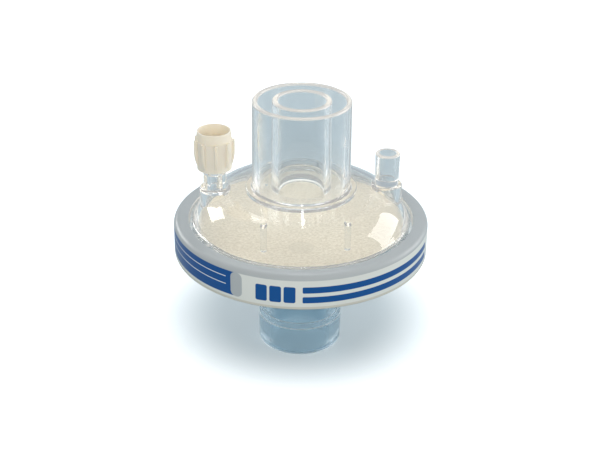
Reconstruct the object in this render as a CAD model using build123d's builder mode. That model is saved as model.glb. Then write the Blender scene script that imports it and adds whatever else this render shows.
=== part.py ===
from build123d import *
import os
from math import cos, radians, sin, sqrt, tan

os.makedirs("parts", exist_ok=True)

# Breathing circuit filter, millimetres. The ports share the Z axis, and the
# mouth of the lower port stands at z = 0. The front is at -Y.

# Connector sizes, as radii. Breathing-circuit cones taper 1 in 40.
cone_taper = 1 / 80
bore_22_mouth_r = 11.24
tube_22_outer_r = 12.6
tube_22_root_r = 12.72
cone_15_tip_r = 7.56
gas_bore_r = 6.1
lower_22_tip_r = 10.95
socket_15_mouth_r = 7.74

# Heights along the ports' axis.
top_z = 68.6
floor_z = 45.2
parting_z = 32.1
wall_t = 1.44
lower_band_z = 8.0
lower_neck_z = 9.7
socket_15_floor_z = 16.5
mouth_chamfer = 0.35
mouth_round = 0.5
rim_22_round = 0.55
rim_15_round = 0.4
bite = 0.4

# Housing shells.
shoulder_r = 16.73
shoulder_z = 32.32
dome_arc_r = 11.9
dome_slope = 11.0
dome_end_slope = 63.6
plateau_r = 14.35
plateau_round = 0.2
foot_bead = 0.5
crease_r = 28.15
crease_round = 0.8
lip_r = 29.35
upper_lip_z = 36.3
flange_r = 31.4
flange_top_z = 35.0
flange_low_z = 29.1
lower_lip_z = 27.5
wall_r = 27.0
felt_seat_z = 35.5
lower_lip_t = 1.0
lower_neck_r = 10.45
lower_arc_r = 8.0
lower_arc_end_r = 27.45
lower_arc_end_z = 26.3
lower_slope = 12.0
throat_ease = 1.2
spigot_gap = 0.1
spigot_t = 1.3
rib_count = 8
rib_t = 1.0
rib_in_r = 10.0

# Filter layers.
felt_t = 1.2
medium_t = 6.4
felt_gap = 0.1

# Posts that hold the felt down, set between the two side ports.
post_turns = (60, 120, 240, 300)
post_ring_r = 20.6
post_root_r = 1.15
post_flare_h = 1.1
post_r = 0.82
post_tip_r = 0.72

# Belt moulded round both flanges.
belt_r = 33.1
belt_low_z = 27.2
belt_top_z = 36.5
belt_round = 1.35
belt_low_round = 0.6
belt_lip_round = 0.25
gate_r = 0.7
gate_h = 0.35
gate_turn = -86.5

# Sampling port, its blind parking stub, and the cap.
port_turn = 3.9
port_ring_r = 22.2
boss_top_z = 45.3
boss_r = 4.0
boss_round = 0.6
boss_core_r = 2.6
boss_skin = 1.4
luer_outer_r = 2.93
luer_mouth_r = 2.14
luer_taper = 0.03
luer_top_z = 55.4
luer_depth = 6.6
luer_hole_r = 1.2
lug_r = 3.65
lug_h = 1.3
lug_arc = 76.0
stub_top_z = 53.7
stub_top_r = 3.2
stub_root_r = 3.05
stub_bore_r = 2.17
stub_depth = 7.0
stub_round = 0.35

cap_low_z = 50.5
cap_top_z = 60.8
cap_hem_r = 4.42
cap_body_r = 4.62
cap_collar_r = 4.52
cap_rim_r = 4.28
cap_rim_round = 0.14
cap_skirt_bore_r = 3.85
cap_recess_r = 3.95
cap_floor_z = 57.9
cap_web_t = 0.9
cap_collar_h = 2.4
cap_ribs = 9
cap_rib_turn = -81.0
cap_rib_t = 0.95
cap_rib_reach = 5.25
cap_rib_round = 0.3
cap_rib_arc_z = 55.3
cap_rib_end_z = 51.3
cap_plug_gap = 0.05
cap_plug_tip_z = 51.2
cap_crown = 0.3
cap_crown_r = 0.7


def at_turn(radius, turn):
    """Point on a circle about the ports' axis, turn in degrees from +X."""
    return (radius * cos(radians(turn)), radius * sin(radians(turn)))


def dome_height(radius):
    """Height of the upper shell's outer surface at a distance from the axis."""
    return shoulder_z + sqrt(dome_arc_r**2 - (radius - shoulder_r) ** 2)


left_x, left_y = at_turn(port_ring_r, 180 + port_turn)
right_x, right_y = at_turn(port_ring_r, port_turn)

# Upper shell: a shallow dome that turns down to the welded flange. Its wall
# follows one arc outside and one inside, about the same centre.
inner_arc_r = dome_arc_r - wall_t
slope = radians(dome_slope)
end_slope = radians(dome_end_slope)
outer_start = (shoulder_r + dome_arc_r * sin(slope), shoulder_z + dome_arc_r * cos(slope))
outer_end = (shoulder_r + dome_arc_r * sin(end_slope), shoulder_z + dome_arc_r * cos(end_slope))
inner_start = (shoulder_r + inner_arc_r * sin(slope), shoulder_z + inner_arc_r * cos(slope))
ledge_r = shoulder_r + sqrt(inner_arc_r**2 - (felt_seat_z - shoulder_z) ** 2)
under_z = inner_start[1] + (inner_start[0] - plateau_r) * tan(slope)
step_z = outer_start[1] + (outer_start[0] - plateau_r) * tan(slope)

with BuildPart() as upper_housing:
    with BuildSketch(Plane.XZ):
        with BuildLine():
            Polyline(
                (gas_bore_r, under_z),
                (gas_bore_r, floor_z),
                (plateau_r, floor_z),
                (plateau_r, step_z),
                outer_start,
            )
            JernArc(outer_start, (cos(slope), -sin(slope)), dome_arc_r, dome_slope - dome_end_slope)
            Polyline(
                outer_end,
                (crease_r, upper_lip_z),
                (lip_r, upper_lip_z),
                (lip_r, flange_top_z),
                (flange_r, flange_top_z),
                (flange_r, parting_z),
                (wall_r, parting_z),
                (wall_r, felt_seat_z),
                (ledge_r, felt_seat_z),
            )
            RadiusArc((ledge_r, felt_seat_z), inner_start, -inner_arc_r)
            Polyline(inner_start, (plateau_r, under_z), (gas_bore_r, under_z))
        make_face()
    revolve(axis=Axis.Z)

    # The crease where the dome meets the lip is eased.
    crease = upper_housing.edges().filter_by(GeomType.CIRCLE)
    crease = crease.filter_by(lambda e: abs(e.radius - crease_r) < 0.01)
    fillet(crease, radius=crease_round)

    # Coaxial port: the outer tube takes a 22 mm cone inside, the inner tube a 15 mm cone outside.
    bore_22_floor_r = bore_22_mouth_r - (top_z - floor_z) * cone_taper
    cone_15_root_r = cone_15_tip_r + (top_z - floor_z) * cone_taper
    with BuildSketch(Plane.XZ):
        with BuildLine():
            Polyline(
                (bore_22_floor_r, floor_z - bite),
                (bore_22_floor_r, floor_z),
                (bore_22_mouth_r, top_z),
                (tube_22_outer_r, top_z),
                (tube_22_root_r, floor_z - bite),
                close=True,
            )
        make_face()
        with BuildLine():
            Polyline(
                (gas_bore_r, floor_z - bite),
                (gas_bore_r, top_z),
                (cone_15_tip_r, top_z),
                (cone_15_root_r, floor_z - bite),
                close=True,
            )
        make_face()
    revolve(axis=Axis.Z)
    rims = upper_housing.edges().filter_by(GeomType.CIRCLE).group_by(Axis.Z)[-1]
    fillet(rims.filter_by(lambda e: e.radius > bore_22_mouth_r - 0.1), radius=rim_22_round)
    fillet(rims.filter_by(lambda e: e.radius < cone_15_tip_r + 0.1), radius=rim_15_round)

    # A bead runs round the tube's foot, and the plateau that carries the tube has a soft edge.
    level = upper_housing.edges().filter_by(GeomType.CIRCLE)
    level = level.filter_by(lambda e: abs(e.center().Z - floor_z) < 0.05)
    fillet(level.filter_by(lambda e: tube_22_outer_r < e.radius < plateau_r - 0.3), radius=foot_bead)
    level = upper_housing.edges().filter_by(GeomType.CIRCLE)
    level = level.filter_by(lambda e: abs(e.center().Z - floor_z) < 0.05)
    fillet(level.filter_by(lambda e: abs(e.radius - plateau_r) < 0.01), radius=plateau_round)

    # Bosses of the sampling port and of the parking stub rise from the dome.
    boss_low_z = dome_height(port_ring_r + boss_r) - bite
    with BuildSketch(Plane.XY.offset(boss_low_z)):
        with Locations((left_x, left_y), (right_x, right_y)):
            Circle(boss_r)
    extrude(amount=boss_top_z - boss_low_z)
    boss_rims = upper_housing.edges().filter_by(GeomType.CIRCLE)
    boss_rims = boss_rims.filter_by(lambda e: abs(e.radius - boss_r) < 0.01 and e.center().Z > boss_top_z - 0.1)
    fillet(boss_rims, radius=boss_round)

    # Sampling port: a female luer neck with two lugs for the cap.
    with BuildSketch(Plane.XY.offset(boss_top_z - bite)):
        with Locations((left_x, left_y)):
            Circle(luer_outer_r)
    extrude(amount=luer_top_z - boss_top_z + bite)
    lug_z = luer_top_z - lug_h
    with BuildSketch(Plane.XY.offset(lug_z)):
        with Locations((left_x, left_y)):
            Circle(lug_r)
            Rectangle(2 * lug_r, 2 * lug_r * sin(radians(lug_arc / 2)), mode=Mode.INTERSECT)
    extrude(amount=lug_h)

    # Parking stub: a slightly flared tube, blind at its foot.
    with BuildSketch(Plane.XY.offset(boss_top_z - bite)):
        with Locations((right_x, right_y)):
            Circle(stub_root_r)
    with BuildSketch(Plane.XY.offset(stub_top_z)):
        with Locations((right_x, right_y)):
            Circle(stub_top_r)
    loft()
    stub_rim = upper_housing.edges().filter_by(GeomType.CIRCLE)
    stub_rim = stub_rim.filter_by(lambda e: abs(e.center().Z - stub_top_z) < 0.01)
    fillet(stub_rim, radius=stub_round)

    # The bosses run through the wall, so what stands inside the chamber is cut away.
    with BuildSketch(Plane.XZ):
        with BuildLine():
            Line((gas_bore_r, felt_seat_z), (ledge_r, felt_seat_z))
            RadiusArc((ledge_r, felt_seat_z), inner_start, -inner_arc_r)
            Polyline(
                inner_start,
                (plateau_r, under_z),
                (gas_bore_r, under_z),
                (gas_bore_r, felt_seat_z),
            )
        make_face()
    revolve(axis=Axis.Z, mode=Mode.SUBTRACT)

    # Both bosses are cored from below, so that their walls stay as thin as the dome's.
    luer_floor_z = luer_top_z - luer_depth
    stub_floor_z = stub_top_z - stub_depth
    with BuildSketch(Plane.XY.offset(felt_seat_z)):
        with Locations((left_x, left_y)):
            Circle(boss_core_r)
    extrude(amount=boss_top_z - boss_skin - felt_seat_z, mode=Mode.SUBTRACT)
    with BuildSketch(Plane.XY.offset(felt_seat_z)):
        with Locations((right_x, right_y)):
            Circle(boss_core_r)
    extrude(amount=stub_floor_z - boss_skin - felt_seat_z, mode=Mode.SUBTRACT)

    # Posts hang from the dome down to the felt, flared where they join it.
    post_root_z = dome_height(post_ring_r) - wall_t / 2
    for turn in post_turns:
        post_x, post_y = at_turn(post_ring_r, port_turn + turn)
        with BuildSketch(Plane(origin=(post_x, post_y, 0), x_dir=(1, 0, 0), z_dir=(0, -1, 0))):
            with BuildLine():
                Polyline(
                    (0, felt_seat_z),
                    (post_tip_r, felt_seat_z),
                    (post_r, post_root_z - post_flare_h),
                    (post_root_r, post_root_z),
                    (0, post_root_z),
                    close=True,
                )
            make_face()
        revolve(axis=Axis((post_x, post_y, 0), (0, 0, 1)))

    # The luer bore tapers down to a fine hole into the chamber.
    with BuildSketch(Plane(origin=(left_x, left_y, luer_top_z))):
        Circle(luer_mouth_r)
    with BuildSketch(Plane(origin=(left_x, left_y, luer_floor_z))):
        Circle(luer_mouth_r - luer_depth * luer_taper)
    loft(mode=Mode.SUBTRACT)
    with BuildSketch(Plane(origin=(left_x, left_y, felt_seat_z))):
        Circle(luer_hole_r)
    extrude(amount=luer_floor_z - felt_seat_z, mode=Mode.SUBTRACT)

    # The parking stub's bore is blind.
    with BuildSketch(Plane(origin=(right_x, right_y, stub_floor_z))):
        Circle(stub_bore_r)
    extrude(amount=stub_depth, mode=Mode.SUBTRACT)

upper_housing.part.label = "upper_housing"
export_step(upper_housing.part, "parts/upper_housing.step")

# Lower shell: a shallower dome below the flange, with a spigot inside the
# upper wall, ribs under the moisture medium, and the port that the part stands on.
lower_end = radians(dome_end_slope)
lower_start = radians(lower_slope)
low_centre_r = lower_arc_end_r - lower_arc_r * sin(lower_end)
low_centre_z = lower_arc_end_z + lower_arc_r * cos(lower_end)
low_inner_r = lower_arc_r - wall_t
low_outer_start = (low_centre_r + lower_arc_r * sin(lower_start), low_centre_z - lower_arc_r * cos(lower_start))
low_inner_start = (low_centre_r + low_inner_r * sin(lower_start), low_centre_z - low_inner_r * cos(lower_start))
root_r = lower_neck_r + throat_ease
root_z = low_outer_start[1] - (low_outer_start[0] - root_r) * tan(lower_start)
chamber_r = gas_bore_r + throat_ease
chamber_z = low_inner_start[1] - (low_inner_start[0] - chamber_r) * tan(lower_start)
spigot_r = wall_r - spigot_gap
spigot_top_z = felt_seat_z - felt_t
medium_low_z = spigot_top_z - medium_t
basin_r = spigot_r - spigot_t

with BuildPart() as lower_housing:
    with BuildSketch(Plane.XZ):
        with BuildLine():
            Polyline(
                (gas_bore_r, socket_15_floor_z),
                (gas_bore_r, chamber_z - throat_ease),
                (chamber_r, chamber_z),
                low_inner_start,
            )
            RadiusArc(low_inner_start, (low_centre_r + low_inner_r, low_centre_z), -low_inner_r)
            Polyline(
                (low_centre_r + low_inner_r, low_centre_z),
                (basin_r, low_centre_z),
                (basin_r, spigot_top_z),
                (spigot_r, spigot_top_z),
                (spigot_r, parting_z),
                (flange_r, parting_z),
                (flange_r, flange_low_z),
                (lip_r, flange_low_z),
                (lip_r, lower_lip_z),
                (lip_r - lower_lip_t, lower_lip_z),
                (lower_arc_end_r, lower_arc_end_z),
            )
            RadiusArc((lower_arc_end_r, lower_arc_end_z), low_outer_start, lower_arc_r)
            Polyline(
                low_outer_start,
                (root_r, root_z),
                (lower_neck_r, root_z - throat_ease),
                (lower_neck_r, lower_neck_z),
                (lower_22_tip_r + lower_band_z * cone_taper, lower_band_z),
                (lower_22_tip_r, 0),
                (socket_15_mouth_r, 0),
                (socket_15_mouth_r - socket_15_floor_z * cone_taper, socket_15_floor_z),
                (gas_bore_r, socket_15_floor_z),
            )
        make_face()
    revolve(axis=Axis.Z)
    mouth = lower_housing.edges().filter_by(GeomType.CIRCLE).group_by(Axis.Z)[0]
    chamfer(mouth.sort_by(SortBy.RADIUS)[0], length=mouth_chamfer)
    fillet(mouth.sort_by(SortBy.RADIUS)[-1], radius=mouth_round)

    # Radial ribs stand on the floor of the lower chamber and carry the medium.
    rib_arc_r = low_inner_r + bite
    rib_top_r = low_centre_r + sqrt(rib_arc_r**2 - (low_centre_z - medium_low_z) ** 2)
    rib_turn_r = low_centre_r + rib_arc_r * sin(lower_start)
    rib_turn_z = low_centre_z - rib_arc_r * cos(lower_start)
    rib_foot_z = rib_turn_z - (rib_turn_r - rib_in_r) * tan(lower_start)
    for index in range(rib_count):
        turn = radians((index + 0.5) * 360 / rib_count)
        rib_plane = Plane(origin=(0, 0, 0), x_dir=(cos(turn), sin(turn), 0), z_dir=(sin(turn), -cos(turn), 0))
        with BuildSketch(rib_plane):
            with BuildLine():
                Polyline((rib_in_r, rib_foot_z), (rib_in_r, medium_low_z), (rib_top_r, medium_low_z))
                RadiusArc((rib_top_r, medium_low_z), (rib_turn_r, rib_turn_z), rib_arc_r)
                Line((rib_turn_r, rib_turn_z), (rib_in_r, rib_foot_z))
            make_face()
        extrude(amount=rib_t / 2, both=True)

lower_housing.part.label = "lower_housing"
export_step(lower_housing.part, "parts/lower_housing.step")

# Filter felt: one soft disc, held between the spigot's rim and the ledge above.
with BuildPart() as filter_felt:
    with BuildSketch(Plane.XY.offset(spigot_top_z)):
        Circle(wall_r - felt_gap)
    extrude(amount=felt_t)

filter_felt.part.label = "filter_felt"
export_step(filter_felt.part, "parts/filter_felt.step")

# Moisture medium: a thick disc inside the spigot, resting on the ribs.
with BuildPart() as moisture_medium:
    with BuildSketch(Plane.XY.offset(medium_low_z)):
        Circle(basin_r - felt_gap)
    extrude(amount=medium_t)

moisture_medium.part.label = "moisture_medium"
export_step(moisture_medium.part, "parts/moisture_medium.step")

# Belt: a ring moulded round both flanges, so it grips over and under them.
with BuildPart() as belt_ring:
    with BuildSketch(Plane.XZ):
        with BuildLine():
            Polyline(
                (lip_r, belt_low_z),
                (belt_r, belt_low_z),
                (belt_r, belt_top_z),
                (lip_r, belt_top_z),
                (lip_r, flange_top_z),
                (flange_r, flange_top_z),
                (flange_r, flange_low_z),
                (lip_r, flange_low_z),
                close=True,
            )
        make_face()
    revolve(axis=Axis.Z)
    rims = belt_ring.edges().filter_by(GeomType.CIRCLE)
    outer_rims = rims.filter_by(lambda e: abs(e.radius - belt_r) < 0.01).sort_by(Axis.Z)
    fillet(outer_rims[-1], radius=belt_round)
    outer_rims = belt_ring.edges().filter_by(GeomType.CIRCLE).sort_by(Axis.Z)
    fillet(outer_rims.filter_by(lambda e: abs(e.radius - belt_r) < 0.01)[0], radius=belt_low_round)
    inner_rims = belt_ring.edges().filter_by(GeomType.CIRCLE).sort_by(Axis.Z)
    inner_rims = inner_rims.filter_by(lambda e: abs(e.radius - lip_r) < 0.01)
    fillet([inner_rims[0], inner_rims[-1]], radius=belt_lip_round)

    # The gate where the plastic entered leaves a small pip on the underside.
    gate_x, gate_y = at_turn((lip_r + belt_r) / 2, gate_turn)
    with BuildSketch(Plane(origin=(gate_x, gate_y, belt_low_z - gate_h))):
        Circle(gate_r)
    extrude(amount=gate_h + bite)

belt_ring.part.label = "belt_ring"
export_step(belt_ring.part, "parts/belt_ring.step")

# Luer cap: a ribbed grip over a skirt, with a plug that closes the port's bore.
cap_web_low_z = cap_floor_z - cap_web_t
cap_rib_top_z = cap_top_z - cap_collar_h
plug_top_r = luer_mouth_r - cap_plug_gap - (luer_top_z - cap_web_low_z) * luer_taper
plug_tip_r = luer_mouth_r - cap_plug_gap - (luer_top_z - cap_plug_tip_z) * luer_taper

# One grip rib: straight below the collar, then curving back into the skirt.
with BuildPart() as cap_rib:
    with BuildSketch(Plane.XZ):
        with BuildLine():
            Polyline(
                (cap_rib_reach, cap_rib_arc_z),
                (cap_rib_reach, cap_rib_top_z),
                (cap_skirt_bore_r, cap_rib_top_z),
                (cap_skirt_bore_r, cap_rib_end_z),
                (cap_hem_r, cap_rib_end_z),
            )
            TangentArc((cap_rib_reach, cap_rib_arc_z), (cap_hem_r, cap_rib_end_z), tangent=(0, -1))
        make_face()
    extrude(amount=cap_rib_t / 2, both=True)
    outer = cap_rib.edges().filter_by(lambda e: e.center().X > cap_body_r)
    fillet(outer.filter_by(lambda e: abs(e.center().Y) > cap_rib_t / 4), radius=cap_rib_round)

with BuildPart() as luer_cap:
    with BuildSketch(Plane(origin=(left_x, left_y, 0), x_dir=(1, 0, 0), z_dir=(0, -1, 0))):
        with BuildLine():
            Polyline(
                (0, cap_low_z),
                (cap_hem_r, cap_low_z),
                (cap_body_r, cap_rib_top_z),
                (cap_collar_r, cap_rib_top_z),
                (cap_rim_r, cap_top_z),
                (0, cap_top_z),
                close=True,
            )
        make_face()
    revolve(axis=Axis((left_x, left_y, 0), (0, 0, 1)))
    for index in range(cap_ribs):
        rib_turn = cap_rib_turn + index * 360 / cap_ribs
        add(cap_rib.part.moved(Location((left_x, left_y, 0), (0, 0, rib_turn))))

    # The space round the plug and the recess in the top are cut in one turn.
    with BuildSketch(Plane(origin=(left_x, left_y, 0), x_dir=(1, 0, 0), z_dir=(0, -1, 0))):
        with BuildLine():
            Polyline(
                (0, cap_low_z),
                (0, cap_plug_tip_z),
                (plug_tip_r, cap_plug_tip_z),
                (plug_top_r, cap_web_low_z),
                (cap_skirt_bore_r, cap_web_low_z),
                (cap_skirt_bore_r, cap_low_z),
                close=True,
            )
        make_face()
        with BuildLine():
            Polyline(
                (cap_recess_r, cap_floor_z),
                (cap_crown_r, cap_floor_z + cap_crown),
                (0, cap_floor_z + cap_crown),
                (0, cap_top_z),
                (cap_recess_r, cap_top_z),
                close=True,
            )
        make_face()
    revolve(axis=Axis((left_x, left_y, 0), (0, 0, 1)), mode=Mode.SUBTRACT)
    cap_rim = luer_cap.edges().filter_by(GeomType.CIRCLE).group_by(Axis.Z)[-1]
    fillet(cap_rim, radius=cap_rim_round)

luer_cap.part.label = "luer_cap"
export_step(luer_cap.part, "parts/luer_cap.step")
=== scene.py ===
import math

import bmesh
import bpy
from mathutils import Matrix, Vector


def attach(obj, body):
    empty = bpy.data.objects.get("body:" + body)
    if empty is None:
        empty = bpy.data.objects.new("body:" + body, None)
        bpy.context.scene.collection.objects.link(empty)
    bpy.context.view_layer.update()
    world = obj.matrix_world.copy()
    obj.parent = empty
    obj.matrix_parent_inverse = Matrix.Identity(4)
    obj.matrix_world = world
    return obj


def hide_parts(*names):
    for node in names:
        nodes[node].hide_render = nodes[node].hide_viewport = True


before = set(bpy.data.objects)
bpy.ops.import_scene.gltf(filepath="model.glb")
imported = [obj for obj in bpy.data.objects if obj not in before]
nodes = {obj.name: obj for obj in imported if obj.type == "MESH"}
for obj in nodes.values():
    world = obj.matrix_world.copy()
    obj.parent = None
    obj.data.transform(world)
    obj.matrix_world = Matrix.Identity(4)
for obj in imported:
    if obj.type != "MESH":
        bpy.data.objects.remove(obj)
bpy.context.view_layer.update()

# The photographer's place: in front of the filter and above it, looking down
# on the dome. The lens is long, so the ports stay nearly upright.
camera_place = (-0.0002, -0.2942, 0.1846)
camera_tilt = 27.2
camera_roll = 0.6
camera_lens = 75.6

camera_data = bpy.data.cameras.new("studio_camera")
camera_data.sensor_width = 36
camera_data.lens = camera_lens
camera_data.clip_start = 0.01
camera = bpy.data.objects.new("studio_camera", camera_data)
bpy.context.scene.collection.objects.link(camera)
camera.location = camera_place
tilted = Matrix.Rotation(math.radians(90 - camera_tilt), 3, "X")
rolled = Matrix.Rotation(math.radians(camera_roll), 3, "Z")
camera.rotation_euler = (tilted @ rolled).to_euler()
bpy.context.scene.camera = camera
bpy.context.scene.view_settings.view_transform = "Standard"

# The sweep of paper that the filter stands on. It is pale blue-grey, as the
# clear plastic shows it, and the camera sees it lifted to white by a glow. Close
# round the filter the glow is weaker, which paints a soft shadow there.
# Reflections and rays through the plastic get a small share of the glow.
paper_half = 1.5
paper_colour = (0.42, 0.495, 0.535, 1)
painted_shadow_lift = 0.12
open_lift = 0.80
painted_shadow_r = 0.020
open_r = 0.047
painted_shadow_back = (0, 0.012, 0)
bent_share = 0.04

paper_mesh = bpy.data.meshes.new("paper_sweep")
corners = [(-paper_half, -paper_half, 0), (paper_half, -paper_half, 0),
           (paper_half, paper_half, 0), (-paper_half, paper_half, 0)]
paper_mesh.from_pydata(corners, [], [(0, 1, 2, 3)])
paper = bpy.data.objects.new("paper_sweep", paper_mesh)
bpy.context.scene.collection.objects.link(paper)

paper_finish = bpy.data.materials.new("blue_grey_paper")
paper_finish.use_nodes = True
tree = paper_finish.node_tree
paper_shader = tree.nodes["Principled BSDF"]
paper_shader.inputs["Base Color"].default_value = paper_colour
paper_shader.inputs["Roughness"].default_value = 0.9
paper_shader.inputs["Specular IOR Level"].default_value = 0.0
light_path = tree.nodes.new("ShaderNodeLightPath")
place = tree.nodes.new("ShaderNodeTexCoord")
away = tree.nodes.new("ShaderNodeVectorMath")
away.operation = "DISTANCE"
away.inputs[1].default_value = painted_shadow_back
tree.links.new(place.outputs["Object"], away.inputs[0])
# The glow fades from the painted shadow close round the filter to full white further out.
painted_shadow_fade = tree.nodes.new("ShaderNodeMapRange")
painted_shadow_fade.interpolation_type = "SMOOTHSTEP"
painted_shadow_fade.inputs["From Min"].default_value = painted_shadow_r
painted_shadow_fade.inputs["From Max"].default_value = open_r
painted_shadow_fade.inputs["To Min"].default_value = painted_shadow_lift
painted_shadow_fade.inputs["To Max"].default_value = open_lift
tree.links.new(away.outputs["Value"], painted_shadow_fade.inputs["Value"])
bent = tree.nodes.new("ShaderNodeMath")
bent.operation = "MAXIMUM"
tree.links.new(light_path.outputs["Is Glossy Ray"], bent.inputs[0])
tree.links.new(light_path.outputs["Is Transmission Ray"], bent.inputs[1])
seen = tree.nodes.new("ShaderNodeMath")
seen.operation = "MULTIPLY_ADD"
seen.inputs[1].default_value = bent_share
tree.links.new(bent.outputs[0], seen.inputs[0])
tree.links.new(light_path.outputs["Is Camera Ray"], seen.inputs[2])
lift = tree.nodes.new("ShaderNodeMath")
lift.operation = "MULTIPLY"
tree.links.new(seen.outputs[0], lift.inputs[0])
tree.links.new(painted_shadow_fade.outputs[0], lift.inputs[1])
paper_shader.inputs["Emission Color"].default_value = (1, 1, 1, 1)
tree.links.new(lift.outputs[0], paper_shader.inputs["Emission Strength"])
from_below = tree.nodes.new("ShaderNodeNewGeometry")
unseen = tree.nodes.new("ShaderNodeBsdfTransparent")
sides = tree.nodes.new("ShaderNodeMixShader")
tree.links.new(from_below.outputs["Backfacing"], sides.inputs[0])
tree.links.new(paper_shader.outputs[0], sides.inputs[1])
tree.links.new(unseen.outputs[0], sides.inputs[2])
tree.links.new(sides.outputs[0], tree.nodes["Material Output"].inputs["Surface"])
paper_mesh.materials.append(paper_finish)

# The room: creamy white in front of the filter and above the camera, and
# blue-grey behind it. The rims of the clear plastic pick up the cream.
room_strength = 0.70
room_front = (0.30, (0.92, 0.895, 0.85, 1))
room_back = (0.66, (0.56, 0.64, 0.70, 1))

room = bpy.data.worlds.new("studio_room")
bpy.context.scene.world = room
room.use_nodes = True
tree = room.node_tree
tree.nodes.clear()
room_out = tree.nodes.new("ShaderNodeOutputWorld")
room_light = tree.nodes.new("ShaderNodeBackground")
room_light.inputs["Strength"].default_value = room_strength
room_white = tree.nodes.new("ShaderNodeBackground")
room_white.inputs["Color"].default_value = (1, 1, 1, 1)
room_mix = tree.nodes.new("ShaderNodeMixShader")
room_path = tree.nodes.new("ShaderNodeLightPath")
direction = tree.nodes.new("ShaderNodeTexCoord")
split = tree.nodes.new("ShaderNodeSeparateXYZ")
ramp = tree.nodes.new("ShaderNodeValToRGB")
for stop, (position, colour) in zip(ramp.color_ramp.elements, (room_front, room_back)):
    stop.position = position
    stop.color = colour
spread = tree.nodes.new("ShaderNodeMapRange")
spread.inputs["From Min"].default_value = -1
tree.links.new(direction.outputs["Generated"], split.inputs[0])
tree.links.new(split.outputs["Y"], spread.inputs["Value"])
tree.links.new(spread.outputs[0], ramp.inputs[0])
tree.links.new(ramp.outputs[0], room_light.inputs["Color"])
tree.links.new(room_path.outputs["Is Camera Ray"], room_mix.inputs[0])
tree.links.new(room_light.outputs[0], room_mix.inputs[1])
tree.links.new(room_white.outputs[0], room_mix.inputs[2])
tree.links.new(room_mix.outputs[0], room_out.inputs[0])

# Soft boxes: two at the sides draw the white windows on the dome, a strip and a
# panel behind draw the marks beside the tube, and a broad one in front only lights.
# Each: turn, lift and roll in degrees, distance, width, height, watts and colour.
lit_point = (0, 0, 0.035)
softboxes = (
    ("left_softbox", -135, 24, 22, 0.80, 0.40, 0.28, 2.2, (1.0, 0.985, 0.97)),
    ("right_softbox", 111, 22, -6, 0.80, 0.58, 0.44, 3.4, (1.0, 0.985, 0.97)),
    ("back_strip", 178, 53, 0, 0.90, 0.026, 0.30, 0.8, (1.0, 0.99, 0.98)),
    ("back_panel", -154, 47, 12, 0.90, 0.20, 0.26, 0.35, (1.0, 0.99, 0.96)),
    ("front_softbox", 4, 26, 0, 1.00, 0.70, 0.50, 4.0, (1.0, 0.985, 0.96)),
)
for name, turn, lift, roll, reach, wide, tall, watts, tint in softboxes:
    lamp = bpy.data.lights.new(name, "AREA")
    lamp.shape = "RECTANGLE"
    lamp.size = wide
    lamp.size_y = tall
    lamp.energy = watts
    lamp.color = tint
    holder = bpy.data.objects.new(name, lamp)
    bpy.context.scene.collection.objects.link(holder)
    turn = math.radians(turn)
    lift = math.radians(lift)
    towards = Vector((math.sin(turn) * math.cos(lift), -math.cos(turn) * math.cos(lift), math.sin(lift)))
    holder.location = Vector(lit_point) + towards * reach
    facing = towards.to_track_quat("Z", "Y").to_matrix()
    facing = facing @ Matrix.Rotation(math.radians(roll), 3, "Z")
    holder.rotation_euler = facing.to_euler()
    holder.visible_glossy = name != "front_softbox"
    holder.visible_transmission = name.startswith("back")

# Lower housing: a clear styrene moulding with the port below. The plastic is
# glossy, with a faint ripple where it shrank in the mould. It is tinted darker
# and bluer than the upper shell, a painted shade for the port standing in the
# shadow under the belt. Lamps shine through it, and rays that have turned
# inside its walls get a painted glow, so nothing in it turns black.
# The lower shell's tint is darker and bluer than the upper shell's: painted shade.
lower_shaded_tint = (0.64, 0.785, 0.87, 1)
lamp_tint = (0.955, 0.965, 0.97, 1)
lower_rough = 0.2
styrene_ior = 1.57
ripple_scale = 140
ripple_strength = 0.3
ripple_depth = 0.000025
# The painted glow: its colour, and the turns inside the plastic after which rays get it.
glow_turns = 2.5
glow_range = 0.6
lower_painted_glow = (0.06, 0.09, 0.11, 1)

ripple = bpy.data.node_groups.new("moulded_ripple", "ShaderNodeTree")
ripple.interface.new_socket("Scale", in_out="INPUT", socket_type="NodeSocketFloat")
ripple.interface.new_socket("Height", in_out="OUTPUT", socket_type="NodeSocketFloat")
ripple_in = ripple.nodes.new("NodeGroupInput")
ripple_out = ripple.nodes.new("NodeGroupOutput")
ripple_place = ripple.nodes.new("ShaderNodeTexCoord")
ripple_noise = ripple.nodes.new("ShaderNodeTexNoise")
ripple_noise.inputs["Detail"].default_value = 2
ripple.links.new(ripple_place.outputs["Object"], ripple_noise.inputs["Vector"])
ripple.links.new(ripple_in.outputs["Scale"], ripple_noise.inputs["Scale"])
ripple.links.new(ripple_noise.outputs["Fac"], ripple_out.inputs["Height"])


def let_lamps_through(finish, tint):
    """Lets the rays from lamps pass the finish with a tint, so what it covers stays lit."""
    tree = finish.node_tree
    see_through = tree.nodes.new("ShaderNodeBsdfTransparent")
    see_through.inputs["Color"].default_value = tint
    path = tree.nodes.new("ShaderNodeLightPath")
    lamp_mix = tree.nodes.new("ShaderNodeMixShader")
    tree.links.new(path.outputs["Is Shadow Ray"], lamp_mix.inputs[0])
    tree.links.new(tree.nodes["Principled BSDF"].outputs[0], lamp_mix.inputs[1])
    tree.links.new(see_through.outputs[0], lamp_mix.inputs[2])
    tree.links.new(lamp_mix.outputs[0], tree.nodes["Material Output"].inputs["Surface"])


def worked(tree, operation, *values):
    """A maths node in the tree; a value is a socket or a number."""
    node = tree.nodes.new("ShaderNodeMath")
    node.operation = operation
    for i, value in enumerate(values):
        if isinstance(value, (int, float)):
            node.inputs[i].default_value = value
        else:
            tree.links.new(value, node.inputs[i])
    return node.outputs[0]


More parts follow.
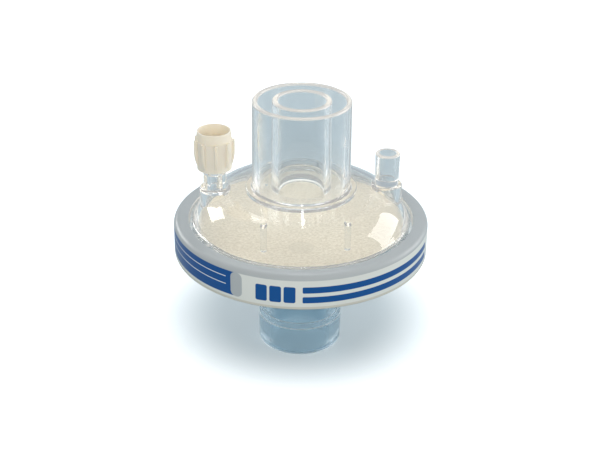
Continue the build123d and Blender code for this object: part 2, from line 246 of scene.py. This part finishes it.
def faded(tree, value, start, end, most=1.0, least=0.0):
    """Goes from the least at the start value to the most at the end value."""
    fade = tree.nodes.new("ShaderNodeMapRange")
    fade.inputs["From Min"].default_value = start
    fade.inputs["From Max"].default_value = end
    fade.inputs["To Min"].default_value = least
    fade.inputs["To Max"].default_value = most
    tree.links.new(value, fade.inputs["Value"])
    return fade.outputs[0]


def clear_plastic(name, tint, rough, glow):
    """Clear moulded plastic, rippled, with a painted glow on rays that have turned inside it."""
    finish = bpy.data.materials.new(name)
    finish.use_nodes = True
    tree = finish.node_tree
    plastic = tree.nodes["Principled BSDF"]
    plastic.inputs["Base Color"].default_value = tint
    plastic.inputs["Roughness"].default_value = rough
    plastic.inputs["IOR"].default_value = styrene_ior
    plastic.inputs["Transmission Weight"].default_value = 1.0
    plastic.inputs["Emission Color"].default_value = glow
    # Rays that have turned two or three times inside the plastic get the glow colour as emission: a
    # painted glow, not a lamp.
    path = tree.nodes.new("ShaderNodeLightPath")
    painted_glow_strength = worked(tree, "COMPARE", path.outputs["Glossy Depth"], glow_turns, glow_range)
    tree.links.new(painted_glow_strength, plastic.inputs["Emission Strength"])
    waves = tree.nodes.new("ShaderNodeGroup")
    waves.node_tree = ripple
    waves.inputs["Scale"].default_value = ripple_scale
    bump = tree.nodes.new("ShaderNodeBump")
    bump.inputs["Strength"].default_value = ripple_strength
    bump.inputs["Distance"].default_value = ripple_depth
    tree.links.new(waves.outputs["Height"], bump.inputs["Height"])
    tree.links.new(bump.outputs["Normal"], plastic.inputs["Normal"])
    let_lamps_through(finish, lamp_tint)
    return finish


lower_shell = nodes["lower_housing"].data
lower_shell.materials.clear()
lower_finish = clear_plastic("clear_styrene_lower", lower_shaded_tint, lower_rough, lower_painted_glow)
lower_shell.materials.append(lower_finish)

# The edges of the port's band and of its mouth are painted as pale, rough lines,
# a painted highlight where they would catch the light. Each line has its height, half its width and its
# strength.
highlight_line_tint = (1.0, 0.985, 0.95, 1)
highlight_line_rough = 0.9
highlight_line_inner_r = 0.0102
highlight_lines = ((0.00805, 0.00016, 1.0), (0.0096, 0.00014, 0.7), (0.0003, 0.00022, 0.8))
highlight_line_edge = (1.4, 0.8)

tree = lower_finish.node_tree
plastic = tree.nodes["Principled BSDF"]
port_place = tree.nodes.new("ShaderNodeTexCoord")
port_split = tree.nodes.new("ShaderNodeSeparateXYZ")
tree.links.new(port_place.outputs["Object"], port_split.inputs[0])
across, deep, up = port_split.outputs
squares = [worked(tree, "MULTIPLY", side, side) for side in (across, deep)]
port_reach = worked(tree, "SQRT", worked(tree, "ADD", *squares))
outside = worked(tree, "GREATER_THAN", port_reach, highlight_line_inner_r)
highlight_mask = None
for line_z, half, share in highlight_lines:
    off_line = worked(tree, "ABSOLUTE", worked(tree, "SUBTRACT", up, line_z))
    band = faded(tree, off_line, half * highlight_line_edge[0], half * highlight_line_edge[1], share)
    highlight_mask = band if highlight_mask is None else worked(tree, "MAXIMUM", highlight_mask, band)
highlight_mask = worked(tree, "MULTIPLY", outside, highlight_mask)
# Inside the lines the tint turns pale cream: a painted highlight.
highlight_colour = tree.nodes.new("ShaderNodeMix")
highlight_colour.data_type = "RGBA"
highlight_colour.inputs[6].default_value = lower_shaded_tint
highlight_colour.inputs[7].default_value = highlight_line_tint
tree.links.new(highlight_mask, highlight_colour.inputs[0])
tree.links.new(highlight_colour.outputs[2], plastic.inputs["Base Color"])
tree.links.new(faded(tree, highlight_mask, 0.0, 1.0, highlight_line_rough, lower_rough), plastic.inputs["Roughness"])

# The weld between the two shells is milky, and shows as a pale band through the
# lip. The lower shell's parting face carries it, and the upper shell's is unseen.
parting_z = 32.1
parting_slack = 0.02
weld_inner_r = 26.5
weld_tint = (0.94, 0.915, 0.88, 1)
weld_rough = 0.8
open_tint = (1, 1, 1, 1)

weld_finish = bpy.data.materials.new("milky_weld")
weld_finish.use_nodes = True
plastic = weld_finish.node_tree.nodes["Principled BSDF"]
plastic.inputs["Base Color"].default_value = weld_tint
plastic.inputs["Roughness"].default_value = weld_rough
let_lamps_through(weld_finish, open_tint)


def weld_faces(mesh, slot):
    """Gives the weld its own finish on a shell's parting face."""
    for face in mesh.polygons:
        reach = 1000 * math.hypot(face.center.x, face.center.y)
        if abs(1000 * face.center.z - parting_z) < parting_slack and reach > weld_inner_r:
            face.material_index = slot


lower_shell.materials.append(weld_finish)
weld_faces(lower_shell, 1)

# Moisture medium: a strip of flat paper and a strip of corrugated paper, wound
# together into a thick disc that stands inside the spigot on the ribs.
medium_low = 27.9
medium_high = 34.25
medium_core_r = 1.6
medium_rim_r = 25.3
layer_pitch = 1.5
wave_pitch = 1.7
wave_height = 0.46
wave_inset = 0.05
wave_step = 0.21
flat_step = 0.8
paper_t = 0.16
pulp_tint = (0.74, 0.69, 0.57, 1)


def spiral(name, start_r, end_r, wave, low, high, step):
    """A strip of paper wound outwards, in millimetres: plain, or rippled by the wave's height."""
    turn, length, points = 0.0, 0.0, []
    radius = start_r
    while radius < end_r:
        ripple_r = radius + wave * math.sin(2 * math.pi * length / wave_pitch)
        points.append((ripple_r * math.cos(turn), ripple_r * math.sin(turn)))
        turn += step / max(radius, 1.0)
        length += step
        radius = start_r + layer_pitch * turn / (2 * math.pi)
    verts, faces = [], []
    for i, (x, y) in enumerate(points):
        ahead = Vector(points[min(i + 1, len(points) - 1)]) - Vector(points[max(i - 1, 0)])
        across = Vector((ahead.y, -ahead.x)).normalized() * paper_t / 2
        for z in (low, high):
            verts.append((x + across.x, y + across.y, z))
            verts.append((x - across.x, y - across.y, z))
    for i in range(len(points) - 1):
        a, b = 4 * i, 4 * i + 4
        faces += [(a, b, b + 2, a + 2), (a + 1, a + 3, b + 3, b + 1)]
        faces += [(a, a + 1, b + 1, b), (a + 2, b + 2, b + 3, a + 3)]
    last = 4 * (len(points) - 1)
    faces += [(0, 2, 3, 1), (last, last + 1, last + 3, last + 2)]
    mesh = bpy.data.meshes.new(name)
    mesh.from_pydata([(x * 0.001, y * 0.001, z * 0.001) for x, y, z in verts], [], faces)
    return mesh


def joined(name, meshes):
    """One object that holds all the given meshes, each still a closed form of its own."""
    form = bmesh.new()
    for mesh in meshes:
        form.from_mesh(mesh)
    bmesh.ops.recalc_face_normals(form, faces=form.faces)
    whole = bpy.data.meshes.new(name)
    form.to_mesh(whole)
    form.free()
    thing = bpy.data.objects.new(name, whole)
    bpy.context.scene.collection.objects.link(thing)
    return thing


flat_strip = spiral("flat_strip", medium_core_r, medium_rim_r, 0.0, medium_low, medium_high, flat_step)
wave_core_r = medium_core_r + layer_pitch / 2
wave_rim_r = medium_rim_r - layer_pitch / 2
wave_low = medium_low + wave_inset
wave_high = medium_high - wave_inset
wave_strip = spiral("wave_strip", wave_core_r, wave_rim_r, wave_height, wave_low, wave_high, wave_step)
medium = joined("wound_medium", [flat_strip, wave_strip])
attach(medium, "filter_body")
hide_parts("moisture_medium")

medium_finish = bpy.data.materials.new("medium_paper")
medium_finish.use_nodes = True
tree = medium_finish.node_tree
pulp = tree.nodes["Principled BSDF"]
pulp.inputs["Base Color"].default_value = pulp_tint
pulp.inputs["Roughness"].default_value = 0.9
medium.data.materials.append(medium_finish)

# Filter felt: a soft disc of cream fibres, pinched at its edge between the
# shells, pressed in under the four posts and slightly uneven between them.
felt_top = 35.5
felt_low = 34.3
felt_r = 26.88
felt_edge_r = 25.9
felt_sag = 0.10
long_wave = 0.012
short_wave = 0.01
pinch_w = 1.2
pinch_sag = 0.02
post_ring_r = 20.6
post_turns = (63.9, 123.9, 243.9, 303.9)
dent_depth = 0.22
dent_r = 1.9
spot_place = (0.2, -16.2)
spot_r = 3.3
spot_edge = 0.3
spot_depth = 0.08
felt_rings = 96
felt_turns = 288
felt_crease = 40


def felt_height(x, y):
    """Height of the felt's top face in millimetres."""
    away = math.hypot(x, y)
    height = felt_top - felt_sag
    height += long_wave * math.sin(0.42 * x + 1.3 * math.sin(0.23 * y)) * math.cos(0.37 * y + 0.8)
    height += short_wave * math.sin(1.1 * x + 0.6 * y) * math.sin(0.9 * y - 0.4 * x)
    for turn in post_turns:
        post_x = post_ring_r * math.cos(math.radians(turn))
        post_y = post_ring_r * math.sin(math.radians(turn))
        height -= dent_depth * math.exp(-(((x - post_x) ** 2 + (y - post_y) ** 2) / dent_r**2))
    spot = math.hypot(x - spot_place[0], y - spot_place[1])
    height -= spot_depth * min(max((spot_r - spot) / spot_edge, 0.0), 1.0)
    pinch = min(max((away - felt_edge_r + pinch_w) / pinch_w, 0.0), 1.0)
    return height * (1 - pinch) + (felt_top - pinch_sag) * pinch


form = bmesh.new()
faces_of = {}
for side in ("top", "low"):
    rings = []
    for i in range(1, felt_rings + 1):
        radius = felt_r * i / felt_rings
        ring = []
        for j in range(felt_turns):
            turn = 2 * math.pi * j / felt_turns
            x, y = radius * math.cos(turn), radius * math.sin(turn)
            z = felt_height(x, y) if side == "top" else felt_low
            ring.append(form.verts.new((x * 0.001, y * 0.001, z * 0.001)))
        rings.append(ring)
    z = felt_height(0, 0) if side == "top" else felt_low
    centre = form.verts.new((0, 0, z * 0.001))
    for j in range(felt_turns):
        k = (j + 1) % felt_turns
        form.faces.new((centre, rings[0][j], rings[0][k]))
        for i in range(felt_rings - 1):
            form.faces.new((rings[i][j], rings[i + 1][j], rings[i + 1][k], rings[i][k]))
    faces_of[side] = rings[-1]
for j in range(felt_turns):
    k = (j + 1) % felt_turns
    form.faces.new((faces_of["top"][j], faces_of["top"][k], faces_of["low"][k], faces_of["low"][j]))
bmesh.ops.recalc_face_normals(form, faces=form.faces)
felt_mesh = bpy.data.meshes.new("filter_felt_disc")
form.to_mesh(felt_mesh)
form.free()
felt_mesh.shade_smooth()
felt_mesh.set_sharp_from_angle(angle=math.radians(felt_crease))
felt = bpy.data.objects.new("filter_felt_disc", felt_mesh)
bpy.context.scene.collection.objects.link(felt)
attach(felt, "filter_body")
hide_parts("filter_felt")

# The fibres: fine crossed strands laid three ways, which shade the colour a
# little and stand up from the surface. The round mark near the front is darker.
bend_scale = 420
bend_amount = 0.0022
strand_turns = (25, 95, 155)
strand_scale = 1050
strand_stretch = (1, 6, 1)
cloud_scale = 1500
cloud_share = 0.45
felt_dark = (0.42, (0.58, 0.51, 0.395, 1))
felt_pale = (0.64, (0.81, 0.74, 0.62, 1))
felt_bump_strength = 0.6
felt_bump_depth = 0.0001
spot_tint = (0.56, 0.51, 0.42, 1)
spot_share = 0.3
spot_outer_r = (spot_r + 0.05) * 0.001
spot_inner_r = (spot_r - 0.25) * 0.001

fibres = bpy.data.node_groups.new("felt_fibres", "ShaderNodeTree")
fibres.interface.new_socket("Height", in_out="OUTPUT", socket_type="NodeSocketFloat")
fibres.interface.new_socket("Cloud", in_out="OUTPUT", socket_type="NodeSocketFloat")
fibres_out = fibres.nodes.new("NodeGroupOutput")
fibre_place = fibres.nodes.new("ShaderNodeTexCoord")
bend_noise = fibres.nodes.new("ShaderNodeTexNoise")
bend_noise.inputs["Scale"].default_value = bend_scale
bend_mix = fibres.nodes.new("ShaderNodeMix")
bend_mix.data_type = "VECTOR"
bend_mix.inputs[0].default_value = bend_amount
fibres.links.new(fibre_place.outputs["Object"], bend_noise.inputs["Vector"])
fibres.links.new(fibre_place.outputs["Object"], bend_mix.inputs[4])
fibres.links.new(bend_noise.outputs["Color"], bend_mix.inputs[5])
highest = None
for turn in strand_turns:
    lay = fibres.nodes.new("ShaderNodeMapping")
    lay.inputs["Rotation"].default_value = (0, 0, math.radians(turn))
    lay.inputs["Scale"].default_value = strand_stretch
    strand = fibres.nodes.new("ShaderNodeTexNoise")
    strand.inputs["Scale"].default_value = strand_scale
    strand.inputs["Detail"].default_value = 3
    strand.inputs["Roughness"].default_value = 0.6
    fibres.links.new(bend_mix.outputs[1], lay.inputs["Vector"])
    fibres.links.new(lay.outputs[0], strand.inputs["Vector"])
    rise = strand.outputs["Fac"]
    highest = rise if highest is None else worked(fibres, "MAXIMUM", highest, rise)
cloud = fibres.nodes.new("ShaderNodeTexNoise")
cloud.inputs["Scale"].default_value = cloud_scale
cloud.inputs["Detail"].default_value = 3
fibres.links.new(fibre_place.outputs["Object"], cloud.inputs["Vector"])
fibres.links.new(highest, fibres_out.inputs["Height"])
fibres.links.new(cloud.outputs["Fac"], fibres_out.inputs["Cloud"])

felt_finish = bpy.data.materials.new("cream_felt")
felt_finish.use_nodes = True
tree = felt_finish.node_tree
fibre = tree.nodes["Principled BSDF"]
fibre.inputs["Roughness"].default_value = 0.95
fibre.inputs["Specular IOR Level"].default_value = 0.15
strands = tree.nodes.new("ShaderNodeGroup")
strands.node_tree = fibres
shade = tree.nodes.new("ShaderNodeValToRGB")
for stop, (position, colour) in zip(shade.color_ramp.elements, (felt_dark, felt_pale)):
    stop.position = position
    stop.color = colour
blend = tree.nodes.new("ShaderNodeMix")
blend.data_type = "FLOAT"
blend.inputs[0].default_value = cloud_share
tree.links.new(strands.outputs["Height"], blend.inputs[2])
tree.links.new(strands.outputs["Cloud"], blend.inputs[3])
tree.links.new(blend.outputs[0], shade.inputs[0])
spot_coords = tree.nodes.new("ShaderNodeTexCoord")
spot_away = tree.nodes.new("ShaderNodeVectorMath")
spot_away.operation = "DISTANCE"
spot_centre = (spot_place[0], spot_place[1], felt_top - felt_sag)
spot_away.inputs[1].default_value = [size * 0.001 for size in spot_centre]
tree.links.new(spot_coords.outputs["Object"], spot_away.inputs[0])
spot_mask = faded(tree, spot_away.outputs["Value"], spot_outer_r, spot_inner_r, spot_share)
spot_mix = tree.nodes.new("ShaderNodeMix")
spot_mix.data_type = "RGBA"
spot_mix.inputs[7].default_value = spot_tint
tree.links.new(spot_mask, spot_mix.inputs[0])
tree.links.new(shade.outputs[0], spot_mix.inputs[6])
tree.links.new(spot_mix.outputs[2], fibre.inputs["Base Color"])
bump = tree.nodes.new("ShaderNodeBump")
bump.inputs["Strength"].default_value = felt_bump_strength
bump.inputs["Distance"].default_value = felt_bump_depth
tree.links.new(strands.outputs["Height"], bump.inputs["Height"])
tree.links.new(bump.outputs["Normal"], fibre.inputs["Normal"])
felt.data.materials.append(felt_finish)

# Upper housing: the dome with the coaxial port, the sampling port, the blind
# parking stub and the posts, moulded in the same clear styrene. The rims of the
# tube and the stub get a half-clear cream-white finish, a painted highlight,
# where the rest looks through.
upper_tint = (0.945, 0.96, 0.968, 1)
upper_painted_glow = (0.24, 0.235, 0.225, 1)
upper_rough = 0.012
rim_highlight_tint = (0.90, 0.875, 0.84, 1)
rim_rough = 0.25
rim_clearness = 0.5
tube_rim_z = 68.02
stub_rim_z = (53.32, 54.0)
port_inner_reach = 18

upper_shell = nodes["upper_housing"].data
upper_shell.materials.clear()
upper_finish = clear_plastic("clear_styrene_upper", upper_tint, upper_rough, upper_painted_glow)
upper_shell.materials.append(upper_finish)
fused_finish = bpy.data.materials.new("fused_face")
fused_finish.use_nodes = True
fused_finish.node_tree.nodes["Principled BSDF"].inputs["Alpha"].default_value = 0.0
upper_shell.materials.append(fused_finish)
weld_faces(upper_shell, 1)

# The rims' finish: half clear and cream-white, with the painted glow, a painted highlight.
rim_highlight_finish = clear_plastic("painted_rim_highlight", rim_highlight_tint, rim_rough, upper_painted_glow)
plastic = rim_highlight_finish.node_tree.nodes["Principled BSDF"]
plastic.inputs["Transmission Weight"].default_value = rim_clearness
upper_shell.materials.append(rim_highlight_finish)
for face in upper_shell.polygons:
    reach = 1000 * math.hypot(face.center.x, face.center.y)
    rise = 1000 * face.center.z
    on_tube = rise > tube_rim_z
    on_stub = face.center.x > 0 and reach > port_inner_reach and stub_rim_z[0] < rise < stub_rim_z[1]
    if on_tube or on_stub:
        face.material_index = 2

# Belt: translucent blue-grey plastic moulded round the two flanges. A pale
# strip is printed round it, with a plain blue field, a clear window beside
# it, and plain blue bars and stripes towards the front.
belt_r = 33.1
belt_turns = 288
belt_crease = 35
grip = 0.06
lip_r = 29.35 - grip
lip_edge = 0.2
flange_r = 31.4 - grip
flange_top = 35.0 - grip
flange_low = 29.1 + grip
belt_top = 36.5
belt_low = 27.2
foot_fillet = 0.6
top_fillet = 1.35
lip_fillet = 0.25
gate_reach = 31.2
gate_angle = -86.5
gate_turns = 32
gate_section = [(0, 26.85), (0.5, 26.87), (0.66, 26.98), (0.72, 27.15), (0.8, 27.35), (0, 27.35)]
print_low = 27.55
print_high = 35.3
ink_low = 28.8
ink_edge = 0.04
window_edge = 0.05
strip_edge = 0.06
hem_edge = 0.1
whole_strip = (-200.0, 200.0, print_low, print_high, 0.02)
window = (-17.75, -14.6, 28.7, 35.35, 1.5)
blue_field = (-95.0, -16.2, ink_low, print_high + 1.0, 0.05)
bars = [(-11.0 + 3.5 * i, -8.1 + 3.5 * i, 29.2, 33.6, 0.5) for i in range(3)]
stripes = [(0.6, 43.0, 31.9, 33.6, 0.3), (0.6, 43.0, 29.2, 30.9, 0.3)]
rules = [(-92.0, -19.2, 33.4, 33.62, 0.1), (-92.0, -19.2, 31.3, 31.52, 0.1)]
hem = (-200.0, 200.0, 27.0, 28.15, 0.02)
belt_tint = (0.40, 0.43, 0.445, 1)
print_tints = (
    ("Strip", (0.66, 0.68, 0.65, 1)),
    ("Blue", (0.0, 0.068, 0.26, 1)),
    ("Line", (0.70, 0.74, 0.78, 1)),
    ("Hem", (0.56, 0.545, 0.48, 1)),
)
belt_lamp_tint = (0.62, 0.66, 0.68, 1)


def arc(centre, radius, start, end, steps):
    """Points along an arc of the section; angles are degrees from the outward direction."""
    turns = [math.radians(start + (end - start) * i / steps) for i in range(steps + 1)]
    return [(centre[0] + radius * math.cos(a), centre[1] + radius * math.sin(a)) for a in turns]


def turned(section, turns, centre=(0, 0)):
    """A closed section (radius, height) in millimetres, turned round an upright axis."""
    form = bmesh.new()
    rings = []
    for i in range(turns):
        x, y = math.cos(2 * math.pi * i / turns), math.sin(2 * math.pi * i / turns)
        around = [(centre[0] + r * x, centre[1] + r * y, z) for r, z in section]
        rings.append([form.verts.new([0.001 * size for size in point]) for point in around])
    for i in range(turns):
        here, there = rings[i], rings[(i + 1) % turns]
        for j in range(len(section)):
            k = (j + 1) % len(section)
            form.faces.new((here[j], there[j], there[k], here[k]))
    bmesh.ops.remove_doubles(form, verts=form.verts, dist=0.000001)
    mesh = bpy.data.meshes.new("turned")
    form.to_mesh(mesh)
    form.free()
    return mesh


belt_section = (
    arc((belt_r - foot_fillet, belt_low + foot_fillet), foot_fillet, 270, 360, 5)
    + arc((belt_r - top_fillet, belt_top - top_fillet), top_fillet, 0, 90, 9)
    + arc((lip_r + lip_fillet, belt_top - lip_fillet), lip_fillet, 90, 180, 3)
    + [(lip_r, flange_top), (flange_r, flange_top), (flange_r, flange_low), (lip_r, flange_low)]
    + arc((lip_r + lip_fillet, belt_low + lip_fillet), lip_fillet, 180, 270, 3)
)
gate_turn = math.radians(gate_angle)
gate_place = (gate_reach * math.cos(gate_turn), gate_reach * math.sin(gate_turn))
hoop = turned(belt_section, belt_turns)
gate_pip = turned(gate_section, gate_turns, gate_place)
belt = joined("belt_ring_moulded", [hoop, gate_pip])
belt.data.shade_smooth()
belt.data.set_sharp_from_angle(angle=math.radians(belt_crease))
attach(belt, "filter_body")
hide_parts("belt_ring")

prints = bpy.data.node_groups.new("belt_print", "ShaderNodeTree")
for socket in ("Strip", "Blue", "Line", "Hem"):
    prints.interface.new_socket(socket, in_out="OUTPUT", socket_type="NodeSocketFloat")
prints_out = prints.nodes.new("NodeGroupOutput")
print_place = prints.nodes.new("ShaderNodeTexCoord")
print_split = prints.nodes.new("ShaderNodeSeparateXYZ")
prints.links.new(print_place.outputs["Object"], print_split.inputs[0])


def inside(field, soft):
    """1 inside a rounded field on the belt's wall: along from, along to, z from, z to, corner."""
    along_low, along_high, z_low, z_high, corner = field
    off_x = worked(prints, "ABSOLUTE", worked(prints, "SUBTRACT", along, (along_low + along_high) / 2))
    off_z = worked(prints, "ABSOLUTE", worked(prints, "SUBTRACT", height, (z_low + z_high) / 2))
    out_x = worked(prints, "SUBTRACT", off_x, (along_high - along_low) / 2 - corner)
    out_z = worked(prints, "SUBTRACT", off_z, (z_high - z_low) / 2 - corner)
    past_x = worked(prints, "POWER", worked(prints, "MAXIMUM", out_x, 0.0), 2.0)
    past_z = worked(prints, "POWER", worked(prints, "MAXIMUM", out_z, 0.0), 2.0)
    past = worked(prints, "SQRT", worked(prints, "ADD", past_x, past_z))
    within = worked(prints, "MINIMUM", worked(prints, "MAXIMUM", out_x, out_z), 0.0)
    edge = worked(prints, "SUBTRACT", worked(prints, "ADD", past, within), corner)
    return faded(prints, edge, soft, -soft)


turned_back = worked(prints, "MULTIPLY", print_split.outputs["Y"], -1.0)
turn_out = worked(prints, "ARCTAN2", print_split.outputs["X"], turned_back)
along = worked(prints, "MULTIPLY", turn_out, belt_r)
height = worked(prints, "MULTIPLY", print_split.outputs["Z"], 1000.0)
no_window = worked(prints, "SUBTRACT", 1.0, inside(window, window_edge))
strip = worked(prints, "MULTIPLY", inside(whole_strip, strip_edge), no_window)
blue = worked(prints, "MULTIPLY", inside(blue_field, ink_edge), no_window)
for field in bars + stripes:
    blue = worked(prints, "MAXIMUM", blue, inside(field, ink_edge))
line = inside(rules[0], ink_edge)
for field in rules[1:]:
    line = worked(prints, "MAXIMUM", line, inside(field, ink_edge))
prints.links.new(strip, prints_out.inputs["Strip"])
prints.links.new(worked(prints, "MULTIPLY", blue, strip), prints_out.inputs["Blue"])
prints.links.new(line, prints_out.inputs["Line"])
prints.links.new(inside(hem, hem_edge), prints_out.inputs["Hem"])

belt_finish = bpy.data.materials.new("belt_plastic")
belt_finish.use_nodes = True
tree = belt_finish.node_tree
plastic = tree.nodes["Principled BSDF"]
plastic.inputs["Roughness"].default_value = 0.3
plastic.inputs["Specular IOR Level"].default_value = 0.3
fields = tree.nodes.new("ShaderNodeGroup")
fields.node_tree = prints
last = None
for mask, over in print_tints:
    layer = tree.nodes.new("ShaderNodeMix")
    layer.data_type = "RGBA"
    tree.links.new(fields.outputs[mask], layer.inputs[0])
    if last is None:
        layer.inputs[6].default_value = belt_tint
    else:
        tree.links.new(last, layer.inputs[6])
    layer.inputs[7].default_value = over
    last = layer.outputs[2]
tree.links.new(last, plastic.inputs["Base Color"])
let_lamps_through(belt_finish, belt_lamp_tint)
belt.data.materials.append(belt_finish)

# The belt's inner faces lie hard on the clear plastic. They have a pale cream
# finish, far paler than the belt, which paints the light coming through the
# translucent belt, and shows pale through the lip.
inner_painted_light_tint = (0.90, 0.875, 0.84, 1)
inner_lamp_tint = (0.85, 0.86, 0.86, 1)
inner_rough = 0.7
inner_reach = 0.1

grip_finish = bpy.data.materials.new("belt_inside_painted_light")
grip_finish.use_nodes = True
plastic = grip_finish.node_tree.nodes["Principled BSDF"]
# Pale cream, far paler than the belt's own blue-grey: painted light.
plastic.inputs["Base Color"].default_value = inner_painted_light_tint
plastic.inputs["Roughness"].default_value = inner_rough
let_lamps_through(grip_finish, inner_lamp_tint)
belt.data.materials.append(grip_finish)
for face in belt.data.polygons:
    reach = 1000 * math.hypot(face.center.x, face.center.y)
    rise = 1000 * face.center.z
    if reach < flange_r + inner_reach and belt_low + lip_edge < rise < belt_top - lip_edge:
        face.material_index = 1

# Luer cap: ivory polypropylene, satin outside, pressed on the sampling port.
# Some light goes a little way into it, which softens the shade between the ribs.
ivory_tint = (0.80, 0.73, 0.615, 1)
ivory_rough = 0.38
ivory_depth = 0.2
ivory_reach = (0.002, 0.0016, 0.001)

cap_finish = bpy.data.materials.new("ivory_plastic")
cap_finish.use_nodes = True
tree = cap_finish.node_tree
ivory = tree.nodes["Principled BSDF"]
ivory.inputs["Base Color"].default_value = ivory_tint
ivory.inputs["Roughness"].default_value = ivory_rough
ivory.inputs["Subsurface Weight"].default_value = ivory_depth
ivory.inputs["Subsurface Radius"].default_value = ivory_reach
ivory.inputs["Subsurface Scale"].default_value = 1.0
nodes["luer_cap"].data.materials.clear()
nodes["luer_cap"].data.materials.append(cap_finish)
